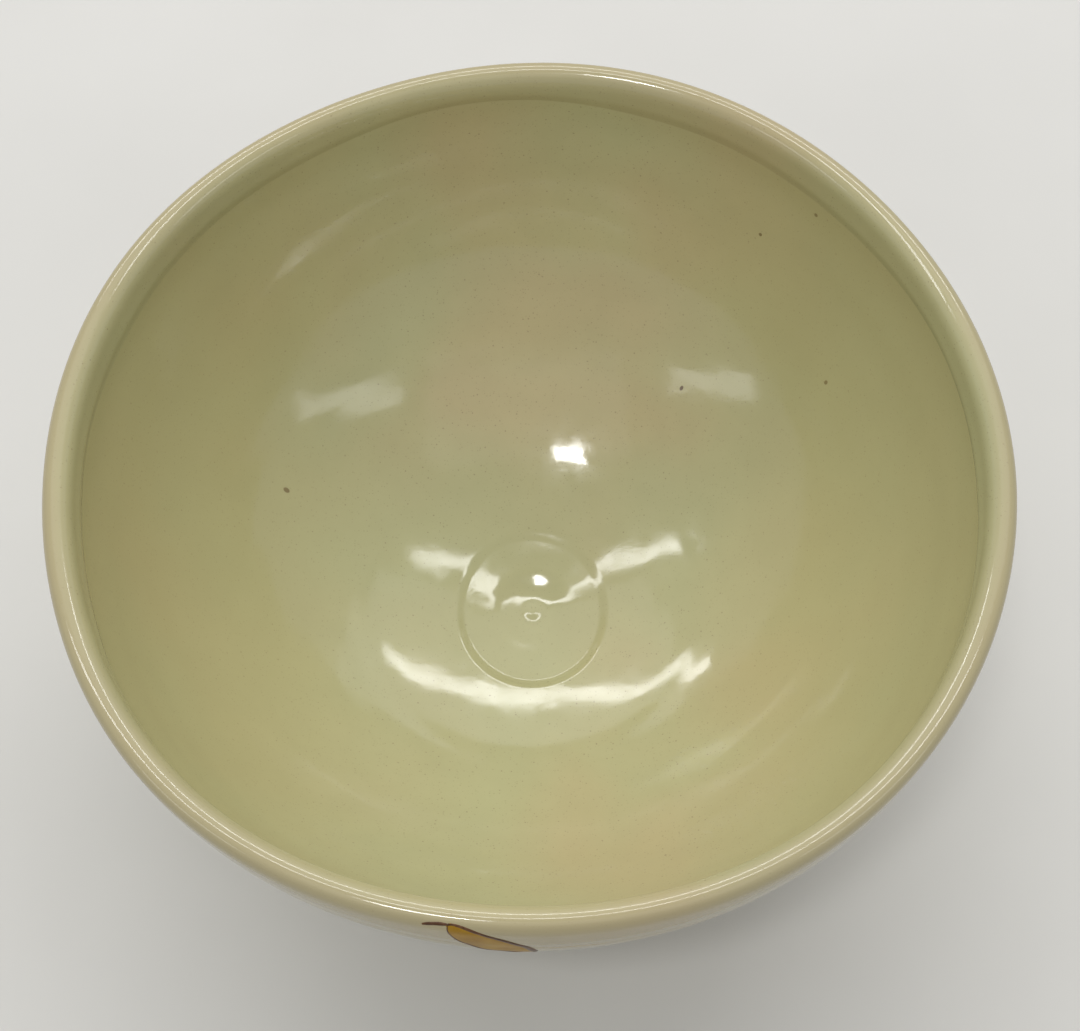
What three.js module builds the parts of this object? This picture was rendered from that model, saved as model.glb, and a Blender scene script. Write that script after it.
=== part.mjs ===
// A thrown stoneware matcha bowl on an attached foot ring. It is glazed inside and out, with a leaf in
// raised enamel on the front. Millimetres: the foot stands on Z = 0, the bowl's axis is Z and the painted
// front faces -Y.
import * as THREE from 'three';

// Driving dimensions
const DIAMETER = 123;
const HEIGHT = 66;
const INNER_DEPTH = 52;
const LIP_OUTSIDE = 1.5; // radius that rounds the lip's outer edge
const LIP_INSIDE = 2.2; // radius that rounds its inner edge
const OUTER_BOWL_DEPTH = 60; // depth of the outer ellipse below the rounded lip
const FOOT_DIAMETER = 57;
const FOOT_HEIGHT = 9;
const FOOT_WALL = 6;
const FOOT_CHAMFER = 0.8;
const FOOT_TAPER = 0.8; // the ring's outside leans in towards the ground
const FOOT_INSET = 0.6; // the ring's top stands this far inside the wall's edge
const GLAZE = 0.7;
const GAP = 0.3; // clearance between touching layers
const BAND_DEPTH = 7; // the outer glaze folds this far down inside the lip
const BARE_CLAY = 2; // unglazed stretch of wall above the foot ring
const POOL_RADIUS = 11.4; // the tea pool at the middle of the floor
const POOL_DEPTH = 0.7;
const NUB_RADIUS = 3;
const NUB_HEIGHT = 1;
const SEGMENTS = 40;

// Enamel leaf: distances across the front from -Y and down from the rim; a heading turns from +X downwards
const ENAMEL = 0.4;
const OUTLINE_WIDTH = 1;
const TIP_SPREAD = 0.4; // keeps the outline's two sides apart at the leaf's tips
const LEAF_SIDES = 32;
const LEAF_ACROSS = -10.2;
const LEAF_DOWN = 1.4;
const LEAF_HEADING = 63;
const LEAF_LENGTH = 19;
const LEAF_WIDTH = 6;
const STALK_ROUTE = [[-14.6, 1.7], [-12.9, 1.1], [-11.1, 0.9]];
const STALK_STEPS = 6;
const STALK_WIDTH = 0.8;

const RIM_RADIUS = DIAMETER / 2;
const LIP_TOP_RADIUS = RIM_RADIUS - LIP_OUTSIDE;
const INNER_RADIUS = LIP_TOP_RADIUS - LIP_INSIDE;
const INNER_BOWL_DEPTH = INNER_DEPTH - LIP_INSIDE;
const OUTER_WALL_TOP = HEIGHT - LIP_OUTSIDE;
const INNER_WALL_TOP = HEIGHT - LIP_INSIDE;
const FOOT_RADIUS = FOOT_DIAMETER / 2;

const clay = new THREE.MeshStandardMaterial({ color: 0xb99b74, roughness: 0.85, metalness: 0 });
const glaze = new THREE.MeshStandardMaterial({ color: 0xb9b487, roughness: 0.15, metalness: 0 });
const ochre = new THREE.MeshStandardMaterial({ color: 0xb98a2c, roughness: 0.3, metalness: 0 });
const iron = new THREE.MeshStandardMaterial({ color: 0x4a2c1c, roughness: 0.35, metalness: 0 });

// Points on an arc of an ellipse in the profile plane; x is the radius from the bowl's axis, y is the height
function ellipseArc(centreX, centreY, radiusX, radiusY, fromAngle, toAngle, steps) {
  const curve = new THREE.EllipseCurve(
    centreX, centreY, radiusX, radiusY, fromAngle, toAngle, toAngle < fromAngle,
  );
  return curve.getPoints(steps);
}

// Outer wall between two radii, upwards
function outerWall(fromRadius, toRadius, steps) {
  const lowAngle = -Math.acos(fromRadius / RIM_RADIUS);
  const highAngle = -Math.acos(toRadius / RIM_RADIUS);
  return ellipseArc(0, OUTER_WALL_TOP, RIM_RADIUS, OUTER_BOWL_DEPTH, lowAngle, highAngle, steps);
}

// Stretch of outer wall that carries glaze, from above the bare clay up to the lip
function glazedOuterWall() {
  return outerWall(FOOT_RADIUS + BARE_CLAY, RIM_RADIUS, 9);
}

// Rounded lip between the tops of the two walls, over from the outside to the inside
function lip() {
  const half = Math.PI / 2;
  const outside = ellipseArc(LIP_TOP_RADIUS, OUTER_WALL_TOP, LIP_OUTSIDE, LIP_OUTSIDE, 0, half, 4);
  const inside = ellipseArc(LIP_TOP_RADIUS, INNER_WALL_TOP, LIP_INSIDE, LIP_INSIDE, half, Math.PI, 5);
  return [...outside.slice(1), ...inside.slice(1, -1)];
}

// Inner wall between two angles of its ellipse, downwards
function innerWall(fromAngle, toAngle, steps) {
  return ellipseArc(0, INNER_WALL_TOP, INNER_RADIUS, INNER_BOWL_DEPTH, fromAngle, toAngle, steps);
}

// Angle on the inner ellipse at a depth below the rim
function innerAngle(depth) {
  return -Math.asin((depth - LIP_INSIDE) / INNER_BOWL_DEPTH);
}

// Inner wall under the folded edge of the outer glaze
function bandWall() {
  return innerWall(0, innerAngle(BAND_DEPTH), 2);
}

// Inner wall from under the band down to the tea pool's edge
function lowerInnerWall() {
  const poolAngle = -Math.acos(POOL_RADIUS / INNER_RADIUS);
  return innerWall(innerAngle(BAND_DEPTH + GAP), poolAngle, 11);
}

// Floor of the tea pool, rising to the thrown nub on the axis
function poolFloor() {
  const floorZ = HEIGHT - INNER_DEPTH - NUB_HEIGHT;
  return [
    new THREE.Vector2(POOL_RADIUS - 1, floorZ + POOL_DEPTH / 2),
    new THREE.Vector2(NUB_RADIUS, floorZ),
    new THREE.Vector2(NUB_RADIUS / 2, floorZ + NUB_HEIGHT / 2),
    new THREE.Vector2(0, floorZ + NUB_HEIGHT),
  ];
}

// The profile moved into the wall by a distance along its normals. A profile runs up the outside, over the
// lip and down the inside, so the wall is on its left.
function inset(profile, distance) {
  return profile.map((point, i) => {
    const before = profile[Math.max(i - 1, 0)];
    const after = profile[Math.min(i + 1, profile.length - 1)];
    const along = after.clone().sub(before).normalize();
    const moved = new THREE.Vector2(point.x - along.y * distance, point.y + along.x * distance);
    return point.x === 0 ? new THREE.Vector2(0, point.y - distance) : moved;
  });
}

// A solid of revolution about Z. The profile closes on itself or has both ends on the axis.
function turned(profile, material) {
  const geometry = new THREE.LatheGeometry(profile, SEGMENTS);
  geometry.rotateX(Math.PI / 2);
  return new THREE.Mesh(geometry, material);
}

// A closed coat of glaze on a stretch of the surface
function coat(surface) {
  const back = inset(surface, GLAZE).reverse();
  return turned([...surface, ...back, surface[0]], glaze);
}

// Clay body: glazed faces set back under the coats, and a flat underside inside the foot ring
function thrownBowl() {
  const outside = [...outerWall(FOOT_RADIUS, FOOT_RADIUS + BARE_CLAY, 1).slice(0, 1), ...glazedOuterWall()];
  const inside = [...bandWall(), ...lowerInnerWall(), ...poolFloor()];
  const faces = inset([...outside, ...lip(), ...inside], GLAZE + GAP);
  const underside = [new THREE.Vector2(0, FOOT_HEIGHT), new THREE.Vector2(faces[0].x, FOOT_HEIGHT)];
  return turned([...underside, ...faces], clay);
}

function footRing() {
  const top = FOOT_HEIGHT - GAP;
  const inner = FOOT_RADIUS - FOOT_WALL;
  const outer = FOOT_RADIUS - FOOT_INSET;
  const outerLow = outer - FOOT_TAPER;
  const outline = [
    [outerLow - FOOT_CHAMFER, 0],
    [outerLow, FOOT_CHAMFER],
    [outer, top],
    [inner, top],
    [inner, FOOT_CHAMFER],
    [inner + FOOT_CHAMFER, 0],
    [outerLow - FOOT_CHAMFER, 0],
  ];
  return turned(outline.map(([x, y]) => new THREE.Vector2(x, y)), clay);
}

// Outer coat, from above the bare clay, over the lip and down to the edge of the inside band
function outerGlaze() {
  return coat([...glazedOuterWall(), ...lip(), ...bandWall()]);
}

// Inner coat, from just under the band down to the nub
function innerGlaze() {
  const surface = [...lowerInnerWall(), ...poolFloor()];
  return turned([...inset(surface, GLAZE).reverse(), ...surface], glaze);
}

// Radius of the glazed outside at a depth below the rim
function wallRadius(down) {
  const underLip = down - LIP_OUTSIDE;
  if (underLip < 0) {
    return LIP_TOP_RADIUS + Math.sqrt(LIP_OUTSIDE ** 2 - underLip ** 2);
  }
  return RIM_RADIUS * Math.sqrt(1 - (underLip / OUTER_BOWL_DEPTH) ** 2);
}

// Wraps a flat piece onto the front: x runs across, z runs down from the rim and y is the lift off the wall
function wrapOntoWall(geometry) {
  const places = geometry.attributes.position;
  for (let i = 0; i < places.count; i += 1) {
    const down = places.getZ(i);
    const angle = places.getX(i) / RIM_RADIUS - Math.PI / 2;
    const radius = wallRadius(down) + GAP + places.getY(i);
    places.setXYZ(i, radius * Math.cos(angle), radius * Math.sin(angle), HEIGHT - down);
  }
  return geometry;
}

// Bends a unit disc or ring, lying in x and z, into the pointed leaf and lays it on the wall
function leafShaped(geometry) {
  const places = geometry.attributes.position;
  const heading = THREE.MathUtils.degToRad(LEAF_HEADING);
  for (let i = 0; i < places.count; i += 1) {
    const reach = Math.hypot(places.getX(i), places.getZ(i));
    const angle = Math.atan2(places.getZ(i), places.getX(i));
    const margin = Math.max(reach - 1, 0);
    const along = Math.min(reach, 1) * Math.cos(angle) * (LEAF_LENGTH / 2 + margin);
    const half = Math.min(reach, 1) * Math.sin(angle) * Math.abs(Math.sin(angle));
    const aside = half * (LEAF_WIDTH / 2 + margin) + Math.sin(angle) * margin * TIP_SPREAD;
    const fromStalk = LEAF_LENGTH / 2 + OUTLINE_WIDTH + along;
    const across = LEAF_ACROSS + fromStalk * Math.cos(heading) - aside * Math.sin(heading);
    const down = LEAF_DOWN + fromStalk * Math.sin(heading) + aside * Math.cos(heading);
    places.setXYZ(i, across, places.getY(i), down);
  }
  return wrapOntoWall(geometry);
}

function leafFill() {
  const disc = new THREE.CylinderGeometry(1, 1, ENAMEL, LEAF_SIDES).translate(0, ENAMEL / 2, 0);
  return new THREE.Mesh(leafShaped(disc), ochre);
}

function leafOutline() {
  const inner = 1 + 2 * GAP;
  const outer = inner + OUTLINE_WIDTH;
  const section = [[inner, 0], [outer, 0], [outer, ENAMEL], [inner, ENAMEL], [inner, 0]];
  const ring = new THREE.LatheGeometry(section.map(([x, y]) => new THREE.Vector2(x, y)), LEAF_SIDES);
  return new THREE.Mesh(leafShaped(ring), iron);
}

// Brush stroke of the leaf's stalk, thinning towards both ends
function leafStalk() {
  const route = new THREE.SplineCurve(STALK_ROUTE.map(([across, down]) => new THREE.Vector2(across, down)));
  const stroke = new THREE.BoxGeometry(1, ENAMEL, 1, STALK_STEPS, 1, 1).translate(0.5, ENAMEL / 2, 0);
  const places = stroke.attributes.position;
  for (let i = 0; i < places.count; i += 1) {
    const t = THREE.MathUtils.clamp(places.getX(i), 0, 1);
    const centre = route.getPoint(t);
    const along = route.getTangent(t);
    const aside = places.getZ(i) * STALK_WIDTH * (0.6 + 0.4 * Math.sin(Math.PI * t));
    places.setXYZ(i, centre.x - aside * along.y, places.getY(i), centre.y + aside * along.x);
  }
  return new THREE.Mesh(wrapOntoWall(stroke), iron);
}

const bowl = new THREE.Group();

function add(name, mesh) {
  mesh.name = name;
  bowl.add(mesh);
}

add('thrown_bowl', thrownBowl());
add('foot_ring', footRing());
add('inner_glaze', innerGlaze());
add('outer_glaze', outerGlaze());
add('leaf', leafFill());
add('leaf_outline', leafOutline());
add('leaf_stalk', leafStalk());

export default bowl;
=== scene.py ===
"""Looks of the matcha bowl: glazed stoneware, thrown and turned, with one leaf in enamel."""
import math

import bpy
import numpy as np
from mathutils import Matrix, Vector


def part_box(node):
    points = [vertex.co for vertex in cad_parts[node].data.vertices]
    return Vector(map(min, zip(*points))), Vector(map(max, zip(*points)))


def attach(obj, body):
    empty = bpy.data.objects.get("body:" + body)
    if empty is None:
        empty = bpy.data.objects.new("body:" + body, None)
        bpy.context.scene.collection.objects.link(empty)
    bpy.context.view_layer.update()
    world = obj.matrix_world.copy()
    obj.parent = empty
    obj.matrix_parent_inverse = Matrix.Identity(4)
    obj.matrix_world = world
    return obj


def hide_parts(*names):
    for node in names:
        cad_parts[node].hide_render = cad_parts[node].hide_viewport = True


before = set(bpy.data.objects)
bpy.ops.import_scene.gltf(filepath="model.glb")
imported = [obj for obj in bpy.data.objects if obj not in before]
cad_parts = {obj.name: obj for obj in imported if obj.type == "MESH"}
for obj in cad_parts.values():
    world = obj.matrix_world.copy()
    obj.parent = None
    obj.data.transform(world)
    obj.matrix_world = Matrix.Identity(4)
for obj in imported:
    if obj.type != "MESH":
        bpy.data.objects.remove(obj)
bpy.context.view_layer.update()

MM = 0.001
TURN = 2 * math.pi

# Sizes in millimetres. Those that the frame gives are read from it.
RIM_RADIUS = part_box("outer_glaze")[1].x / MM
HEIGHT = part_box("outer_glaze")[1].z / MM
FOOT_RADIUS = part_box("foot_ring")[1].x / MM
FOOT_GAP = 0.28  # the frame's foot ring stops about this far below the clay
FOOT_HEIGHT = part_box("foot_ring")[1].z / MM + FOOT_GAP
BAND_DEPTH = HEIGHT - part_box("inner_glaze")[1].z / MM
LIP_OUTSIDE = 1.5
LIP_INSIDE = 2.2
OUTER_BOWL_DEPTH = 60.0
INNER_DEPTH = 52.0
FOOT_WALL = 6.0
WALL_FOOT_RADIUS = 28.5
GLAZE_LINE_RADIUS = 30.5
COAT = 0.6  # thickness of both glazes
POOL_RADIUS = 11.4
POOL_DEPTH = 1.15
POOL_SLOPE = 0.14  # rise per mm out, on the pool's outer part
POOL_EDGE = 0.9  # half the width of the pool's soft edge
DISH_CURVE = 0.05  # what the slope of the dish in the pool's middle gains per mm out
DISH_LEAN = 0.32  # share by which the dish is steeper at the back, and flatter at the front
AXIS = 0.15  # profiles that reach the axis stop this short of it
RIM_WAVES = ((3, 0.26, -35), (4, 0.26, -37), (5, 0.22, 6))  # waves to the turn, size, angle of a crest

OUTER_WALL_TOP = HEIGHT - LIP_OUTSIDE
INNER_WALL_TOP = HEIGHT - LIP_INSIDE
LIP_TOP_RADIUS = RIM_RADIUS - LIP_OUTSIDE
INNER_RADIUS = LIP_TOP_RADIUS - LIP_INSIDE
INNER_BOWL_DEPTH = INNER_DEPTH - LIP_INSIDE
AROUND = 320  # points on every ring
FAR = 99.0  # stands for any distance at which an edge has no effect

theta = np.arange(AROUND) * TURN / AROUND  # their angles


# ---------------------------------------------------------------- small helpers

def smoothstep(low, high, x):
    t = np.clip((x - low) / (high - low), 0, 1)
    return t * t * (3 - 2 * t)


def bump(centre, width, x):
    return np.exp(-(((x - centre) / width) ** 2))


def ripple(seed, turns, wavelength, x, count=7):
    """Smooth random waves round the bowl and along x (mm), about -1 to 1, periodic round the bowl."""
    rng = np.random.default_rng(seed)
    total = 0
    for _ in range(count):
        k = rng.integers(0, turns + 1)
        along = rng.uniform(-1, 1) * TURN / wavelength
        phase = rng.uniform(0, TURN)
        total = total + np.cos(k * theta[None, :] + along * x[:, None] + phase)
    return total / math.sqrt(count)


def round_waves(*waves):
    """Waves round the bowl, from (size, waves to the turn, phase)."""
    return sum(size * np.cos(k * theta + phase) for size, k, phase in waves)


def rim_wobble(angle):
    """How far the thrown rim strays from a true circle, in mm, by angle."""
    return sum(size * np.cos(k * (angle - math.radians(turn))) for k, size, turn in RIM_WAVES)


def wobble_share(height):
    """The rim strays most and the lower wall not at all."""
    return np.clip((height / HEIGHT - 0.4) / 0.6, 0, 1) ** 1.5


# ---------------------------------------------------------------- surfaces

def arc(centre, radii, from_angle, to_angle, steps):
    """Points (radius, height) on an ellipse in the profile plane."""
    angles = np.linspace(from_angle, to_angle, steps)
    return np.stack([centre[0] + radii[0] * np.cos(angles), centre[1] + radii[1] * np.sin(angles)], 1)


def outer_wall(low_radius, high_radius, steps):
    low = -math.acos(low_radius / RIM_RADIUS)
    high = -math.acos(high_radius / RIM_RADIUS)
    return arc((0, OUTER_WALL_TOP), (RIM_RADIUS, OUTER_BOWL_DEPTH), low, high, steps)


def lip(steps):
    """The rounded lip, from the outer wall's top over to the inner wall's."""
    half = math.pi / 2
    outside = arc((LIP_TOP_RADIUS, OUTER_WALL_TOP), (LIP_OUTSIDE, LIP_OUTSIDE), 0, half, steps)
    inside = arc((LIP_TOP_RADIUS, INNER_WALL_TOP), (LIP_INSIDE, LIP_INSIDE), half, math.pi, steps)
    return np.concatenate([outside, inside[1:]])


def inner_angle(depth):
    return -math.asin((depth - LIP_INSIDE) / INNER_BOWL_DEPTH)


def inner_wall(from_angle, to_angle, steps):
    return arc((0, INNER_WALL_TOP), (INNER_RADIUS, INNER_BOWL_DEPTH), from_angle, to_angle, steps)


def softened(profile, spacing, passes):
    """The profile with evenly spaced points and every change of curvature eased."""
    s = run_length(profile)
    even = np.linspace(0, s[-1], int(s[-1] / spacing))
    line = np.stack([np.interp(even, s, profile[:, k]) for k in (0, 1)], 1)
    for _ in range(passes):
        line[1:-1] = (line[:-2] + 2 * line[1:-1] + line[2:]) / 4
    return line


def normals(profile):
    """Outward normals of a profile that runs up the outside, over the lip and down the inside."""
    along = np.gradient(profile, axis=0)
    along /= np.linalg.norm(along, axis=1)[:, None]
    return np.stack([along[:, 1], -along[:, 0]], 1)


def run_length(profile):
    return np.concatenate([[0], np.cumsum(np.linalg.norm(np.diff(profile, axis=0), axis=1))])


def rings(profile, lift, wobbly=True):
    """Rings of points in metres: the profile, moved out by lift (mm, for each point) and turned about Z."""
    normal = normals(profile)
    radius = profile[:, :1] + normal[:, :1] * lift
    height = profile[:, 1:] + normal[:, 1:] * lift
    if wobbly:
        radius = radius + rim_wobble(theta)[None, :] * wobble_share(profile[:, 1])[:, None]
    return np.stack([radius * np.cos(theta), radius * np.sin(theta), height], 2) * MM


def shell(rows, poles=False):
    """Points and faces of a closed surface over rows of points. The rows loop, or end in two poles."""
    count, around = rows.shape[:2]
    points = rows.reshape(-1, 3)
    i = np.arange(count - 1 if poles else count)[:, None]
    j = np.arange(around)[None, :]
    after = (i + 1) % count
    beside = (j + 1) % around
    here, there = i * around, after * around
    faces = np.stack([here + j, here + beside, there + beside, there + j], 2).reshape(-1, 4).tolist()
    if poles:
        first, last = len(points), len(points) + 1
        points = np.concatenate([points, rows[[0, -1]].mean(axis=1)])
        top = (count - 1) * around
        faces += [(first, (k + 1) % around, k) for k in range(around)]
        faces += [(top + k, top + (k + 1) % around, last) for k in range(around)]
    return points, faces


def piece(name, *shells):
    """One object from one or more closed surfaces, with its faces pointing out."""
    points, faces = [], []
    for shell_points, shell_faces in shells:
        start = sum(len(p) for p in points)
        points.append(shell_points)
        faces += [tuple(start + v for v in face) for face in shell_faces]
    mesh = bpy.data.meshes.new(name)
    mesh.from_pydata(np.concatenate(points).tolist(), [], faces)
    mesh.update()
    if signed_volume(mesh) < 0:
        mesh.flip_normals()
    mesh.shade_smooth()
    made = bpy.data.objects.new(name, mesh)
    bpy.context.scene.collection.objects.link(made)
    return made


def signed_volume(mesh):
    mesh.calc_loop_triangles()
    co = np.empty(len(mesh.vertices) * 3)
    mesh.vertices.foreach_get("co", co)
    tri = np.empty(len(mesh.loop_triangles) * 3, dtype=np.int64)
    mesh.loop_triangles.foreach_get("vertices", tri)
    a, b, c = co.reshape(-1, 3)[tri].reshape(-1, 3, 3).transpose(1, 0, 2)
    return float(np.einsum("ij,ij->i", a, np.cross(b, c)).sum() / 6)


# ---------------------------------------------------------------- glaze and clay pieces

def throwing_marks(s, pitch, depth, seed):
    """Soft rings left by the fingers, climbing in a spiral, deeper in some places than others."""
    spiral = np.cos(TURN * s[:, None] / pitch + theta[None, :] + 0.6 * ripple(seed, 3, 40, s))
    return depth * spiral * (0.55 + 0.45 * ripple(seed + 1, 3, 30, s))


def band_edge_depth():
    """Depth of the band's lower edge inside the lip, in mm, by angle: it runs a little up and down."""
    waves = round_waves((0.5, 2, -0.3), (0.35, 5, 1.1), (0.2, 9, 0.4))
    return BAND_DEPTH - 0.6 + waves - 0.9 * bump(math.pi / 2, 0.9, theta)


def inner_coat():
    """The glaze inside, whose top edge runs up under the band. Its points are densest in the pool."""
    edge = inner_angle(BAND_DEPTH - 3)
    pool = -math.acos((POOL_RADIUS + 2.4) / INNER_RADIUS)
    centre = -math.acos(AXIS / INNER_RADIUS)
    profile = np.concatenate([inner_wall(edge, pool, 200)[:-1], inner_wall(pool, centre, 90)])
    s = run_length(profile)
    radius = profile[:, 0]
    depth = HEIGHT - profile[:, 1]
    lift = throwing_marks(s, 6.2, 0.012, 11)
    lift += 0.05 * ripple(13, 4, 45, s)
    lift += 0.006 * ripple(14, 18, 9, s, 14)
    lift *= smoothstep(1, 9, radius)[:, None]
    under_band = 1 - smoothstep(BAND_DEPTH + 1, BAND_DEPTH + 9, depth)
    lift -= 0.3 * under_band[:, None]
    ridge = bump(25.5, 1.6, radius) - 0.7 * bump(22.5, 2.4, radius)
    lift += 0.035 * ridge[:, None] * (1 - bump(math.pi / 2, 0.9, theta))
    lift += pool_relief(radius)
    front = rings(profile, lift)
    back = rings(profile, lift - COAT)[::-1]
    return piece("inner_glaze_coat", shell(np.concatenate([back, front]), poles=True))


def pool_relief(radius):
    """The tea pool: a sunk floor with a lopsided dish in it, a spiral and a nub in the middle."""
    r = radius[:, None]
    run = np.linspace(0, 20, 401)
    level = smoothstep(4.6, 7.2, run)
    steep = np.interp(r, run, np.cumsum(run * (1 - level)) * run[1])
    gentle = np.interp(r, run, np.cumsum(level) * run[1])
    flanks = 0.012 * np.maximum(r - 7, 0) ** 2 * np.cos(theta) ** 2
    dish = DISH_CURVE * (1 + DISH_LEAN * np.sin(theta)) * steep
    floor = dish + POOL_SLOPE * gentle + flanks - POOL_DEPTH
    bowl = INNER_BOWL_DEPTH / INNER_RADIUS ** 2 / 2 * r ** 2
    edge = POOL_RADIUS - 0.6 * np.cos(2 * theta) - 0.3 * np.sin(theta)
    sunk = 1 - smoothstep(edge - POOL_EDGE, edge + POOL_EDGE, r)
    spiral = 0.045 * np.cos(theta - TURN * r / 6 - 0.6) * bump(3.2, 1.9, r) * smoothstep(0.3, 2.2, r)
    nub = 0.3 * bump(0, 1.15, r) - 0.07 * bump(0, 0.4, r)
    return (floor - bowl) * sunk + spiral + nub


def outer_profile():
    """The outer coat's profile over wall, lip and inside band, and which of its points lie inside."""
    wall = outer_wall(GLAZE_LINE_RADIUS - 1.4, RIM_RADIUS, 400)[:-1]
    band = inner_wall(0, inner_angle(BAND_DEPTH + 1.2), 60)[1:]
    profile = softened(np.concatenate([wall, lip(40), band]), 0.3, 12)
    inside = np.arange(len(profile)) > profile[:, 1].argmax()
    return profile, inside


def outer_lift(profile, inside):
    """Throwing marks and waves of the outer coat, in mm off its plain profile."""
    s = run_length(profile)
    calm = smoothstep(HEIGHT - 9, HEIGHT - 3, profile[:, 1])[:, None]
    lift = throwing_marks(s, 6.8, 0.04, 31) * (1 - calm)
    lift += 0.07 * ripple(33, 4, 45, s) * (1 - 0.6 * calm)
    lift += 0.008 * ripple(34, 18, 9, s, 14)
    return lift


def outer_coat():
    """The glaze outside and over the lip, with a soft roll at each of its two edges."""
    profile, inside = outer_profile()
    depth = HEIGHT - profile[:, 1]
    lift = outer_lift(profile, inside)
    to_edge = np.where(inside[:, None], band_edge_depth()[None, :] - depth[:, None], FAR)
    to_line = np.where(inside[:, None], FAR, run_length(profile)[:, None] - glaze_line()[None, :])
    lift += 0.07 * bump(1.8, 1.4, to_edge) + 0.2 * bump(1.1, 0.9, to_line)
    lift -= 0.42 * (1 - smoothstep(-1.2, 1.8, to_edge)) + 0.75 * (1 - smoothstep(-0.4, 0.8, to_line))
    thickness = np.where(inside, 0.27 + 0.33 * smoothstep(4, 1, depth), COAT)[:, None]
    back_lift = np.minimum(-thickness, lift - 0.04)
    rows = np.concatenate([rings(profile, lift), rings(profile, back_lift)[::-1]])
    return piece("outer_glaze_coat", shell(rows))


def glaze_line():
    """How far along the wall the outer glaze starts, in mm, by angle; in one place it dripped lower."""
    waves = round_waves((0.45, 2, 0.8), (0.3, 7, 2), (0.18, 13, 0))
    return 1.6 + waves - 1.1 * bump(math.radians(35), 0.12, theta)


def clay_body():
    """The clay under the glazes. It shows, with turning marks, above and inside the foot."""
    wall = outer_wall(WALL_FOOT_RADIUS, RIM_RADIUS, 110)[:-1]
    inside = inner_wall(0, -math.acos(AXIS / INNER_RADIUS), 60)[1:]
    profile = np.concatenate([wall, lip(12), inside])
    s = run_length(profile)
    under_glaze = smoothstep(1.5, 6, s)
    depth = np.where(s < s[len(wall)], 0.5 + 0.4 * under_glaze, 1.0)
    depth = depth + 1.1 * (1 - smoothstep(POOL_RADIUS - 1, POOL_RADIUS + 2, profile[:, 0]))
    turned = 0.05 * np.cos(TURN * s / 1.3)[:, None] * (1 - under_glaze)[:, None]
    outside = rings(profile, -depth[:, None] + turned + 0 * theta)
    reach = np.linspace(2 * AXIS, WALL_FOOT_RADIUS - 0.6, 60)
    dish = FOOT_HEIGHT + 0.3 * (1 - (reach / WALL_FOOT_RADIUS) ** 2) - 0.5 * bump(0, 2.6, reach)
    dish = dish + 0.05 * np.cos(TURN * reach / 1.7)
    under = rings(np.stack([reach, dish], 1), np.zeros((len(reach), AROUND)), wobbly=False)
    return piece("thrown_clay", shell(np.concatenate([under, outside]), poles=True))


def foot():
    """The turned foot ring, which leans in towards the ground, with chatter marks on its sides."""
    out_low, out_top = FOOT_RADIUS - 0.9, FOOT_RADIUS + 0.25
    inner = WALL_FOOT_RADIUS - FOOT_WALL
    outline = [
        (out_top, FOOT_HEIGHT - 0.05), (out_low + 0.1, FOOT_HEIGHT - 2.2), (out_low - 0.1, 2.2),
        (out_low - 0.5, 0.5), (out_low - 1.1, 0), (inner + 1.5, 0), (inner + 0.6, 0.5),
        (inner + 0.1, 2.2), (inner - 0.1, FOOT_HEIGHT - 2), (inner - 0.7, FOOT_HEIGHT - 0.05),
    ]
    profile = rounded(outline, 4)
    s = run_length(profile)
    chatter = 0.045 * np.cos(TURN * s / 1.5)[:, None] + 0.03 * ripple(52, 22, 5, s, 12)
    height = profile[:, 1]
    off_ground = smoothstep(0.15, 0.9, height)
    off_wall = 1 - smoothstep(FOOT_HEIGHT - 0.9, FOOT_HEIGHT - 0.2, height)
    side_shade = (off_ground * off_wall)[:, None]
    return piece("foot_ring_clay", shell(rings(profile, -chatter * side_shade, wobbly=False)))


def rounded(outline, passes):
    """An open outline with its corners cut, over and over, so that they turn round."""
    line = np.array(outline, float)
    for _ in range(passes):
        first = line[:-1] * 0.75 + line[1:] * 0.25
        second = line[:-1] * 0.25 + line[1:] * 0.75
        cut = np.stack([first, second], 1).reshape(-1, 2)
        line = np.concatenate([line[:1], cut, line[-1:]])
    return line


# ---------------------------------------------------------------- enamel on the front

# Places are (across from -Y, down the wall from the lip's top). A heading turns from across to down.
LEAF_BASE = (-10.5, 1.2)
LEAF_HEADING = 63
LEAF_BEND = 34
LEAF_LENGTH = 21
LEAF_WIDTH = 6
STALK_ROUTE = ((-13.5, 1.6), (-12.6, 1.4), (-11.6, 1.25), (-10.4, 1.2))
SUNK = 0.22  # the enamel's underside lies this far inside the glaze


def outer_wall_sampler():
    """A lookup of points in metres on the glazed front, by three distances in mm.

    They are across from -Y, down the wall from the lip's top, and lift off the glaze.
    """
    profile, inside = outer_profile()
    rows = np.flatnonzero(~inside)[::-1]
    normal = normals(profile)[rows]
    lifts = outer_lift(profile, inside)[rows]
    outside = profile[rows]
    down_wall = run_length(outside)

    def sample(across, down, lift):
        angle = across / RIM_RADIUS - math.pi / 2
        row = np.interp(down, down_wall, np.arange(len(rows)))
        column = (angle / TURN % 1) * AROUND
        glaze = map_grid(lifts, row, column)
        place = [np.interp(down, down_wall, values) for values in (*outside.T, *normal.T)]
        height = place[1] + place[3] * (lift + glaze)
        radius = place[0] + place[2] * (lift + glaze) + rim_wobble(angle) * wobble_share(place[1])
        return np.stack([radius * np.cos(angle), radius * np.sin(angle), height], -1) * MM

    return sample


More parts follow.
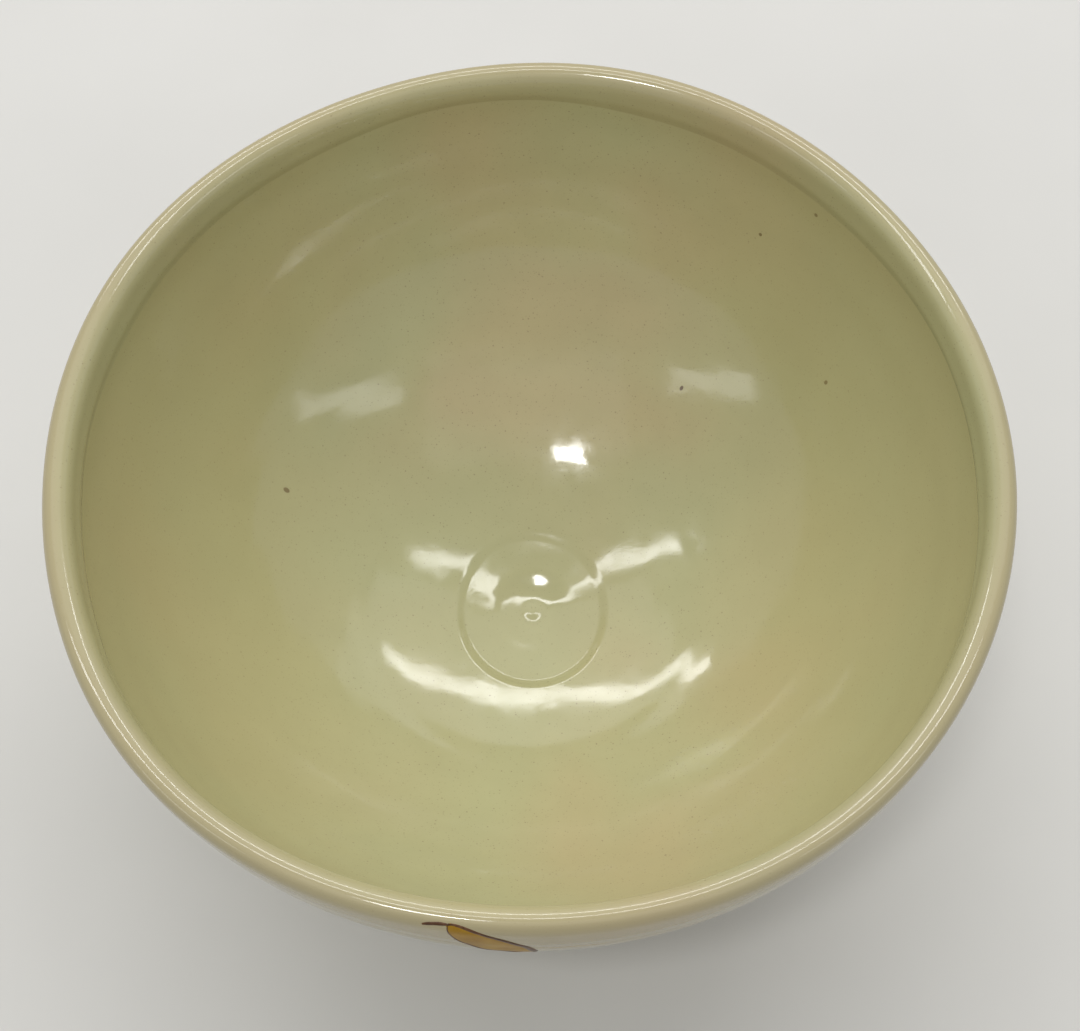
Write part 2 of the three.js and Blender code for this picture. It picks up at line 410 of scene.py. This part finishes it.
def map_grid(grid, row, column):
    """Values between the points of a grid whose columns run round the bowl."""
    i, j = np.minimum(row.astype(int), len(grid) - 2), column.astype(int)
    u, v = row - i, column - j
    left, right = j % AROUND, (j + 1) % AROUND
    upper = grid[i, left] * (1 - v) + grid[i, right] * v
    lower = grid[i + 1, left] * (1 - v) + grid[i + 1, right] * v
    return upper * (1 - u) + lower * u


on_wall = outer_wall_sampler()


def stroke(path, width, height, flat=2.0, ribs=11):
    """A brush stroke on the wall: enamel of a width and height in mm along the path, domed across."""
    aside = sideways(path)
    q = np.linspace(-1, 1, ribs)
    dome = (1 - np.abs(q) ** flat) ** 0.5
    half = np.asarray(width)[:, None] / 2
    across = path[:, :1] + aside[:, :1] * half * q
    down = path[:, 1:] + aside[:, 1:] * half * q
    top = on_wall(across, down, np.asarray(height)[:, None] * dome - 0.02)
    under = on_wall(across[:, ::-1], down[:, ::-1], -SUNK)
    return shell(np.concatenate([top, under[:, 1:-1]], 1), poles=True)


def smooth_path(points, steps):
    """A smooth line through a few points, by Catmull-Rom pieces."""
    p = np.array(points, float)
    p = np.concatenate([[2 * p[0] - p[1]], p, [2 * p[-1] - p[-2]]])
    line = []
    for a, b, c, d in zip(p, p[1:], p[2:], p[3:]):
        t = np.linspace(0, 1, steps, endpoint=False)[:, None]
        line.append(0.5 * (2 * b + (c - a) * t + (2 * a - 5 * b + 4 * c - d) * t ** 2
                           + (3 * b - a - 3 * c + d) * t ** 3))
    return np.concatenate(line + [p[-2:-1]])


def brush(t, seed, thin=0.45):
    """Relative width of a hand-drawn stroke: thin at both ends and never quite even."""
    rng = np.random.default_rng(seed)
    sway = sum(rng.uniform(-1, 1) * np.sin((k + 1) * 3 * t + rng.uniform(0, TURN)) for k in range(4))
    return (thin + (1 - thin) * np.sin(math.pi * np.clip(t, 0.02, 0.98)) ** 0.6) * (1 + 0.13 * sway)


def sideways(path):
    """Unit vectors across a path."""
    along = np.gradient(path, axis=0)
    along /= np.linalg.norm(along, axis=1)[:, None]
    return np.stack([-along[:, 1], along[:, 0]], 1)


def leaf_middle(steps=90):
    """The leaf's middle line, which bends down."""
    t = np.linspace(0, 1, steps)
    heading = np.radians(LEAF_HEADING + LEAF_BEND * (t - 0.5))
    step = LEAF_LENGTH / (steps - 1)
    path = np.stack([np.cumsum(np.cos(heading)), np.cumsum(np.sin(heading))], 1) * step
    return t, path - path[0] + LEAF_BASE


def leaf_half_width(t):
    return LEAF_WIDTH / 2 * np.sin(math.pi * t ** 0.8) ** 0.9


def leaf_edge(side):
    t, path = leaf_middle()
    return t, path + side * sideways(path) * leaf_half_width(t)[:, None]


def leaf_fill():
    t, path = leaf_middle()
    height = 0.14 * np.sin(math.pi * np.clip(t, 0.03, 0.97)) ** 0.4
    width = 2 * leaf_half_width(np.clip(t, 0.01, 0.99)) + 0.1
    return piece("leaf_enamel", stroke(path, width, height, flat=8, ribs=41))


def leaf_outline():
    """Two strokes of one brush: a heavy one along the upper edge and a light one along the lower."""
    shells = []
    for side, weight in ((-1, 0.9), (1, 0.45)):
        t, path = leaf_edge(side)
        shells.append(stroke(path, weight * brush(t, 61 + side, 0.25), 0.16 * brush(t, 3)))
    return piece("leaf_outline_stroke", *shells)


def leaf_stalk():
    path = smooth_path(STALK_ROUTE, 14)
    t = np.linspace(0, 1, len(path))
    return piece("leaf_stalk_stroke", stroke(path, 0.5 * brush(t, 90, 0.3), 0.14 + 0 * t))


# ---------------------------------------------------------------- materials

class Shader:
    """A node material, built step by step."""

    def __init__(self, name):
        self.material = bpy.data.materials.new(name)
        self.material.use_nodes = True
        self.tree = self.material.node_tree
        self.tree.nodes.clear()
        self.surface = self.add("ShaderNodeBsdfPrincipled")
        out = self.add("ShaderNodeOutputMaterial")
        self.tree.links.new(self.surface.outputs[0], out.inputs["Surface"])
        self.place = self.add("ShaderNodeTexCoord").outputs["Object"]
        self.xyz = self.add("ShaderNodeSeparateXYZ", {0: self.place}).outputs

    def add(self, kind, inputs=None, **settings):
        node = self.tree.nodes.new(kind)
        for key, value in settings.items():
            setattr(node, key, value)
        for key, value in (inputs or {}).items():
            if isinstance(value, bpy.types.NodeSocket):
                self.tree.links.new(value, node.inputs[key])
            else:
                node.inputs[key].default_value = value
        return node

    def set(self, **inputs):
        for key, value in inputs.items():
            socket = self.surface.inputs[key.replace("_", " ")]
            if isinstance(value, bpy.types.NodeSocket):
                self.tree.links.new(value, socket)
            else:
                socket.default_value = value

    def noise(self, size, detail=3.0, roughness=0.5, distortion=0.0, seed=0.0):
        """Noise whose features measure about size mm."""
        moved = self.add("ShaderNodeVectorMath", {0: self.place, 1: (seed, seed * 0.7, seed * 1.3)})
        inputs = {"Vector": moved.outputs[0], "Scale": 1000.0 / size, "Detail": detail,
                  "Roughness": roughness, "Distortion": distortion}
        return self.add("ShaderNodeTexNoise", inputs).outputs["Fac"]

    def ramp(self, value, *stops):
        node = self.add("ShaderNodeValToRGB", {"Fac": value})
        elements = node.color_ramp.elements
        while len(elements) < len(stops):
            elements.new(0.5)
        for element, (position, colour) in zip(elements, stops):
            element.position = position
            element.color = (*colour, 1)
        return node.outputs["Color"]

    def between(self, value, low, high, to_low=0.0, to_high=1.0):
        inputs = {"Value": value, "From Min": low, "From Max": high,
                  "To Min": to_low, "To Max": to_high}
        return self.add("ShaderNodeMapRange", inputs, interpolation_type="SMOOTHSTEP").outputs[0]

    def math(self, operation, a, b):
        return self.add("ShaderNodeMath", {0: a, 1: b}, operation=operation).outputs[0]

    def mix(self, factor, a, b, blend="MIX"):
        node = self.add("ShaderNodeMix", data_type="RGBA", blend_type=blend)
        for key, value in ((0, factor), (6, a), (7, b)):
            if isinstance(value, bpy.types.NodeSocket):
                self.tree.links.new(value, node.inputs[key])
            else:
                node.inputs[key].default_value = (*value, 1) if key else value
        return node.outputs[2]

    def specks(self, cell, radius, share, seed=0.0):
        """1 on round specks scattered through space, one in each of a share of the cells."""
        moved = self.add("ShaderNodeVectorMath", {0: self.place, 1: (seed, seed, seed)})
        voronoi = self.add("ShaderNodeTexVoronoi", {"Vector": moved.outputs[0], "Scale": 1000.0 / cell})
        chance = self.add("ShaderNodeSeparateColor", {0: voronoi.outputs["Color"]}).outputs
        there = self.between(chance[0], 1 - share, 1 - share + 0.02)
        size = self.between(chance[1], 0, 1, 0.45 * radius / cell, radius / cell)
        near = self.math("DIVIDE", voronoi.outputs["Distance"], size)
        return self.math("MULTIPLY", self.between(near, 1.0, 0.75), there)

    def spot(self, angle, height, size):
        """1 on a spot of size mm in radius on the inner wall, reaching a little way into it."""
        share = math.sqrt(1 - ((INNER_WALL_TOP - height) / INNER_BOWL_DEPTH) ** 2)
        reach = INNER_RADIUS * share + rim_wobble(angle) * wobble_share(height)
        centre = (reach * math.cos(angle) * MM, reach * math.sin(angle) * MM, height * MM)
        inputs = {"Vector": self.place, "Location": centre, "Rotation": (0, 0, angle),
                  "Scale": (3 * size * MM, size * MM, size * MM)}
        local = self.add("ShaderNodeMapping", inputs, vector_type="TEXTURE").outputs[0]
        far = self.add("ShaderNodeVectorMath", {0: local}, operation="LENGTH").outputs["Value"]
        return self.between(far, 1, 0.6)

    def relief(self, *layers):
        """Bump from (height, depth in mm) layers."""
        normal = None
        for height, depth in layers:
            inputs = {"Height": height, "Distance": depth * MM, "Strength": 1.0}
            if normal is not None:
                inputs["Normal"] = normal
            normal = self.add("ShaderNodeBump", inputs).outputs[0]
        self.set(Normal=normal)

    def radius(self):
        plan = self.add("ShaderNodeCombineXYZ", {0: self.xyz[0], 1: self.xyz[1]}).outputs[0]
        return self.add("ShaderNodeVectorMath", {0: plan}, operation="LENGTH").outputs["Value"]


BUFF = (0.438, 0.412, 0.222)
GREEN = (0.426, 0.42, 0.228)
PINK = (0.458, 0.393, 0.212)
# OCHRE is painted shade: the inner glaze turns to it at the left and right sides
OCHRE = (0.42, 0.365, 0.165)
# The lip's colour: its thicker glaze, darkened with painted shade where the lip gets less light
LIP_GLAZE_AND_SHADE = (0.36, 0.30, 0.172)
SPECK = (0.10, 0.055, 0.02)

# Fine iron specks by kind: cell and radius in mm, share of the cells, strength and seed
IRON_SPECKS = (
    (0.42, 0.12, 0.6, 0.2, 0),
    (0.8, 0.14, 0.5, 0.34, 5),
    (6.0, 0.2, 0.25, 0.5, 9),
)

# Larger iron specks that burned through the inner glaze: angle in degrees, height and radius in mm
IRON_SPOTS = (
    (44.6, 56.8, 0.4),
    (51.5, 48.3, 0.32),
    (52.2, 26.5, 0.32),
    (29.1, 38.2, 0.36),
    (157.8, 26.7, 0.45),
)


def glaze_colour(shader):
    """Buff glaze with soft green and pink clouds and fine iron specks."""
    clouds = shader.noise(38, 2, 0.45, 0.3)
    base = shader.ramp(clouds, (0.32, GREEN), (0.5, BUFF), (0.68, PINK))
    mottle = shader.noise(9, 4, 0.6, 0.3, seed=3.1)
    tone = shader.ramp(mottle, (0.25, (0.96, 0.96, 0.95)), (0.75, (1.03, 1.03, 1.03)))
    base = shader.mix(1.0, base, tone, "MULTIPLY")
    for cell, radius, share, strength, seed in IRON_SPECKS:
        there = shader.specks(cell, radius, share, seed)
        base = shader.mix(shader.math("MULTIPLY", there, strength), base, SPECK)
    return base


def glossy(shader):
    """A glassy surface, a little duller in some places."""
    dull = shader.between(shader.noise(3, 3, seed=7.0), 0.3, 0.7, 0.07, 0.13)
    shader.set(Roughness=dull, IOR=1.54)


def inner_glaze_material():
    """The glaze colour, with painted shade that makes it darker and more ochre at the left and right sides,
    greener in the pool, and with the larger specks.
    """
    shader = Shader("inner_glaze")
    base = glaze_colour(shader)
    for angle, height, size in IRON_SPOTS:
        base = shader.mix(shader.spot(math.radians(angle), height, size), base, SPECK)
    # Painted shade: darker, more ochre glaze towards the left and right as seen from the front, where the
    # light falls off
    aside = shader.math("ABSOLUTE", shader.xyz[0], 0)
    side_shade = shader.between(aside, 0.3 * INNER_RADIUS * MM, 0.75 * INNER_RADIUS * MM)
    base = shader.mix(shader.math("MULTIPLY", side_shade, 0.45), base, OCHRE)
    pool = shader.between(shader.radius(), POOL_RADIUS * 1.2 * MM, POOL_RADIUS * 0.7 * MM)
    base = shader.mix(shader.math("MULTIPLY", pool, 0.35), base, GREEN)
    shader.set(Base_Color=base)
    glossy(shader)
    shader.relief((shader.noise(2.2, 2), 0.012), (shader.noise(0.5, 2, seed=2.0), 0.002))
    return shader.material


def outer_glaze_material():
    """The glaze colour, shading on the lip and the wall below it to a darker tone: their thicker glaze,
    with painted shade where the lip gets less light.
    """
    shader = Shader("outer_glaze")
    base = glaze_colour(shader)
    # Painted shade: the lip and the top of the outer wall turn darker, towards the lip's colour
    lip_glaze_and_shade = shader.between(shader.radius(), (INNER_RADIUS - 0.8) * MM, (LIP_TOP_RADIUS + 0.5) * MM)
    base = shader.mix(shader.math("MULTIPLY", lip_glaze_and_shade, 0.75), base, LIP_GLAZE_AND_SHADE)
    shader.set(Base_Color=base)
    glossy(shader)
    shader.relief((shader.noise(2.4, 2), 0.014), (shader.noise(0.5, 2, seed=2.0), 0.002))
    return shader.material


def clay_material():
    """Buff clay with dark iron specks and pale grit."""
    shader = Shader("bare_clay")
    clouds = shader.noise(14, 5, 0.6)
    brown, buff, pale = (0.36, 0.235, 0.125), (0.43, 0.295, 0.165), (0.50, 0.36, 0.22)
    base = shader.ramp(clouds, (0.3, brown), (0.5, buff), (0.72, pale))
    iron = shader.math("MULTIPLY", shader.specks(0.9, 0.16, 0.4), 0.6)
    base = shader.mix(iron, base, (0.14, 0.07, 0.03))
    grit = shader.math("MULTIPLY", shader.specks(1.6, 0.2, 0.3, 4.0), 0.5)
    base = shader.mix(grit, base, (0.7, 0.6, 0.45))
    shader.set(Base_Color=base, Roughness=0.82)
    shader.relief((shader.noise(0.5, 6, 0.7), 0.09), (shader.noise(3, 3, seed=4.0), 0.06))
    return shader.material


def ochre_material():
    """Ochre enamel, thin in some places and pooled in others, with a few specks."""
    shader = Shader("ochre_enamel")
    pooled = shader.noise(5, 4, 0.6, 0.5)
    deep, ochre, thin = (0.25, 0.13, 0.012), (0.34, 0.19, 0.02), (0.42, 0.26, 0.035)
    base = shader.ramp(pooled, (0.3, deep), (0.52, ochre), (0.75, thin))
    specks = shader.math("MULTIPLY", shader.specks(0.7, 0.14, 0.4), 0.35)
    base = shader.mix(specks, base, SPECK)
    shader.set(Base_Color=base, Roughness=0.3, Specular_IOR_Level=0.05)
    shader.relief((shader.noise(1.2, 3), 0.015))
    return shader.material


def iron_material():
    """Iron-brown enamel with the streaks of a brush."""
    shader = Shader("iron_enamel")
    streaks = shader.noise(1.6, 5, 0.65, 1.0)
    dark, brown, worn = (0.055, 0.024, 0.011), (0.1, 0.045, 0.02), (0.22, 0.115, 0.05)
    base = shader.ramp(streaks, (0.35, dark), (0.55, brown), (0.8, worn))
    shader.set(Base_Color=base, Roughness=0.3, Specular_IOR_Level=0.2)
    shader.relief((streaks, 0.02))
    return shader.material


# ---------------------------------------------------------------- setting

VIEW_ELEVATION = math.radians(62.64)
VIEW_TURN = math.radians(0.12)
VIEW_ROLL = math.radians(0.87)
VIEW_DISTANCE = 237.9
VIEW_AIM = (1.32, -9.21, 0)
LENS = 63.06

LAMP_DISTANCE = 1.2  # in metres
LAMP_AIM = Vector((0, 0, 0.015))  # in metres; just over the middle of the bowl's floor


def camera():
    """Looks down into the bowl from its painted front; distances in mm from the middle of the rim."""
    level_share = math.cos(VIEW_ELEVATION)
    across, back = level_share * math.sin(VIEW_TURN), -level_share * math.cos(VIEW_TURN)
    eye = VIEW_DISTANCE * Vector((across, back, math.sin(VIEW_ELEVATION)))
    ahead = (Vector(VIEW_AIM) - eye).normalized()
    level = ahead.cross(Vector((0, 0, 1))).normalized()
    upright = level.cross(ahead)
    up = upright * math.cos(VIEW_ROLL) + level * math.sin(VIEW_ROLL)
    right = level * math.cos(VIEW_ROLL) - upright * math.sin(VIEW_ROLL)
    turn = Matrix((right, up, -ahead)).transposed().to_4x4()
    data = bpy.data.cameras.new("camera")
    data.lens = LENS
    data.clip_start = 0.01
    made = bpy.data.objects.new("camera", data)
    made.matrix_world = Matrix.Translation((eye + Vector((0, 0, HEIGHT))) * MM) @ turn
    bpy.context.scene.collection.objects.link(made)
    bpy.context.scene.camera = made


def lamp(name, towards, size, radiance, roll=0):
    """A rectangular light that faces the bowl's floor; size is (across, up) per metre of distance."""
    z = Vector(towards).normalized()
    x = (Vector((1, 0, 0)) - z * z.x).normalized()
    axes = Matrix((x, z.cross(x), z)).transposed() @ Matrix.Rotation(math.radians(roll), 3, "Z")
    data = bpy.data.lights.new(name, "AREA")
    data.shape = "RECTANGLE"
    data.size = size[0] * LAMP_DISTANCE
    data.size_y = size[1] * LAMP_DISTANCE
    data.energy = radiance * math.pi * data.size * data.size_y
    made = bpy.data.objects.new(name, data)
    made.matrix_world = Matrix.Translation(LAMP_AIM + z * LAMP_DISTANCE) @ axes.to_4x4()
    bpy.context.scene.collection.objects.link(made)


def lights():
    """Strips and one spark that glint in the glaze, and a pale room."""
    lamp("beyond", (-0.02, 0.72, 0.72), (1.2, 0.075), 10, roll=-6)
    lamp("beyond_soft", (0.1, 0.8, 0.9), (1.2, 0.8), 0.7)
    lamp("behind_soft", (0, -0.5, 1), (0.9, 0.5), 0.35)
    lamp("above", (-0.1, 0.24, 1), (1.15, 0.07), 10)
    lamp("spark", (-0.16, -0.24, 1), (0.13, 0.08), 40)
    lamp("behind_right", (1.15, -0.62, 1), (0.5, 0.1), 2.5)
    lamp("behind_left", (-1.3, -0.68, 1), (0.4, 0.1), 2.5)
    world = bpy.data.worlds.new("room")
    world.use_nodes = True
    background = world.node_tree.nodes["Background"]
    background.inputs["Color"].default_value = (0.97, 0.98, 1, 1)
    background.inputs["Strength"].default_value = 0.52
    bpy.context.scene.world = world


def floor():
    """A pale studio floor, in metres."""
    side = 3.0
    corners = np.array([(-side, -side, 0), (side, -side, 0), (side, side, 0), (-side, side, 0)])
    made = piece("floor", (corners, [(0, 1, 2, 3)]))
    shader = Shader("pale_floor")
    base = shader.ramp(shader.noise(60, 3), (0.3, (0.58, 0.57, 0.54)), (0.7, (0.61, 0.60, 0.57)))
    shader.set(Base_Color=base, Roughness=0.6)
    made.data.materials.append(shader.material)


def place(made, material, slot, *nodes):
    """Gives a piece its material and its body, and hides the frame's nodes that it stands for; the slot is
    not used.
    """
    made.data.materials.append(material)
    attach(made, "root")
    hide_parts(*nodes)


def build():
    clay, ochre, iron = clay_material(), ochre_material(), iron_material()
    place(clay_body(), clay, "bare_clay", "thrown_bowl")
    place(foot(), clay, "bare_clay", "foot_ring")
    place(inner_coat(), inner_glaze_material(), "inner_glaze", "inner_glaze")
    place(outer_coat(), outer_glaze_material(), "outer_glaze", "outer_glaze")
    place(leaf_fill(), ochre, "ochre_enamel", "leaf")
    place(leaf_outline(), iron, "iron_enamel", "leaf_outline")
    place(leaf_stalk(), iron, "iron_enamel", "leaf_stalk")


camera()
lights()
floor()
build()
bpy.context.scene.view_settings.view_transform = "Standard"
